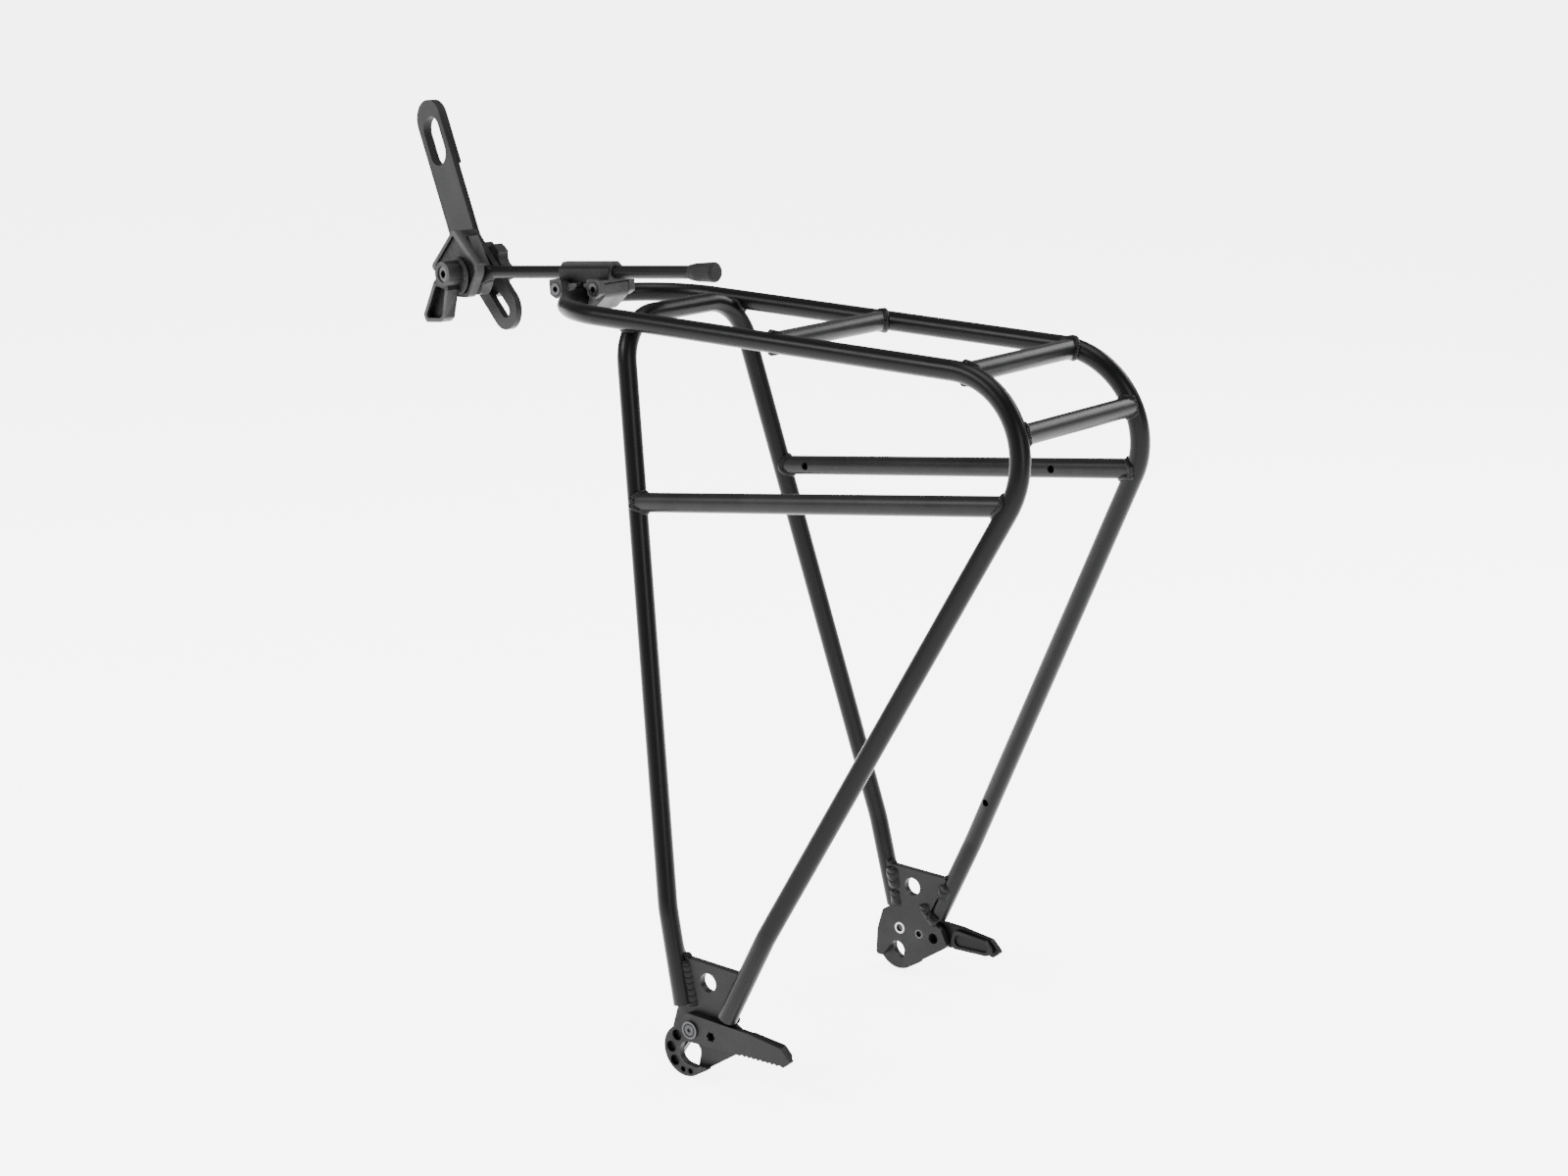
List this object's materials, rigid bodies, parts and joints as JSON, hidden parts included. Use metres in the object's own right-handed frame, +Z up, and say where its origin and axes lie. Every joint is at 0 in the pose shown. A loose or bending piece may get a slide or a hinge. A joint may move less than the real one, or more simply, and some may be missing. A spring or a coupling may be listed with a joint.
{
  "type": "bicycle rear rack",
  "caption": "Tubular bicycle rear rack with hook levers at the dropouts, low side rails and an adjustable stay rod with a slotted bracket.",
  "frame": {"origin": "midpoint between the two dropout notches, on the wheel axle line", "axes": "+X to the back of the bicycle, +Y to its right, +Z up; the deck is level"},
  "size_m": [0.4673, 0.194, 0.4616],
  "materials": {
    "frame_paint": "satin black powder coat",
    "plate_paint": "satin black powder coat",
    "hook_paint": "matt black anodised",
    "bare_steel": "brushed",
    "black_steel": "black oxide",
    "cast_paint": "black coated casting",
    "cap_rubber": "matt",
    "knob_plastic": "fine texture"
  },
  "bodies": {
    "frame": {"loop_tube": "frame_paint", "leg_arch_tube": "frame_paint", "cross_tube_front": "frame_paint", "cross_tube_middle": "frame_paint", "cross_tube_tail": "frame_paint", "lower_rail_left": "frame_paint", "lower_rail_right": "frame_paint", "dropout_plate_left": "plate_paint", "dropout_plate_right": "plate_paint", "pivot_sleeve_left": "bare_steel", "pivot_sleeve_right": "bare_steel", "pivot_screw_left": "black_steel", "pivot_screw_right": "black_steel", "lever_washer_left": "black_steel", "lever_washer_right": "black_steel", "lock_screw_left": "black_steel", "lock_screw_right": "black_steel"},
    "left_hook": {"hook_lever_left": "hook_paint"},
    "right_hook": {"hook_lever_right": "hook_paint"},
    "rod_clamp": {"rod_clamp_cap": "cast_paint", "clamp_jaw_front": "cast_paint", "clamp_jaw_rear": "cast_paint", "clamp_screws": "black_steel", "clamp_nuts": "black_steel"},
    "rod": {"stay_rod": "frame_paint", "rod_end_cap": "cap_rubber"},
    "head": {"head_outer_plate": "cast_paint", "head_inner_plate": "cast_paint", "nut_washer": "black_steel"},
    "bracket": {"seat_stay_bracket": "plate_paint"},
    "clamp_lever": {"wing_lever": "cast_paint", "clamp_bolt": "black_steel"},
    "knob": {"thumb_nut": "knob_plastic"}
  },
  "joints": [
    {"name": "left_hook_turn", "type": "hinge", "parent": "frame", "child": "left_hook", "pos_m": [0.0012, -0.0927, 0.0129], "axis": [0, 1, 0], "range_deg": [0, 58]},
    {"name": "right_hook_turn", "type": "hinge", "parent": "frame", "child": "right_hook", "pos_m": [0.0012, 0.0927, 0.0129], "axis": [0, 1, 0], "range_deg": [0, 58]},
    {"name": "clamp_tilt", "type": "hinge", "parent": "frame", "child": "rod_clamp", "pos_m": [-0.15114, 0.00244, 0.3574], "axis": [0.0523, 0.9986, 0], "range_deg": [-30, 7]},
    {"name": "rod_slide", "type": "slide", "parent": "rod_clamp", "child": "rod", "axis": [0.9926, -0.052, 0.1097], "range_m": [-0.05, 0.045]},
    {"name": "head_swivel", "type": "hinge", "parent": "rod", "child": "head", "pos_m": [-0.24776, 0.00751, 0.35899], "axis": [0.1908, 0.9816, 0], "range_deg": [-28, 28]},
    {"name": "bracket_slide", "type": "slide", "parent": "head", "child": "bracket", "axis": [0.7542, -0.1466, -0.6401], "range_m": [-0.03, 0.005]},
    {"name": "clamp_lever_turn", "type": "hinge", "parent": "head", "child": "clamp_lever", "pos_m": [-0.24776, 0.00751, 0.35899], "axis": [0.1908, 0.9816, 0], "continuous": true},
    {"name": "knob_turn", "type": "hinge", "parent": "head", "child": "knob", "pos_m": [-0.24776, 0.00751, 0.35899], "axis": [0.1908, 0.9816, 0], "continuous": true}
  ]
}
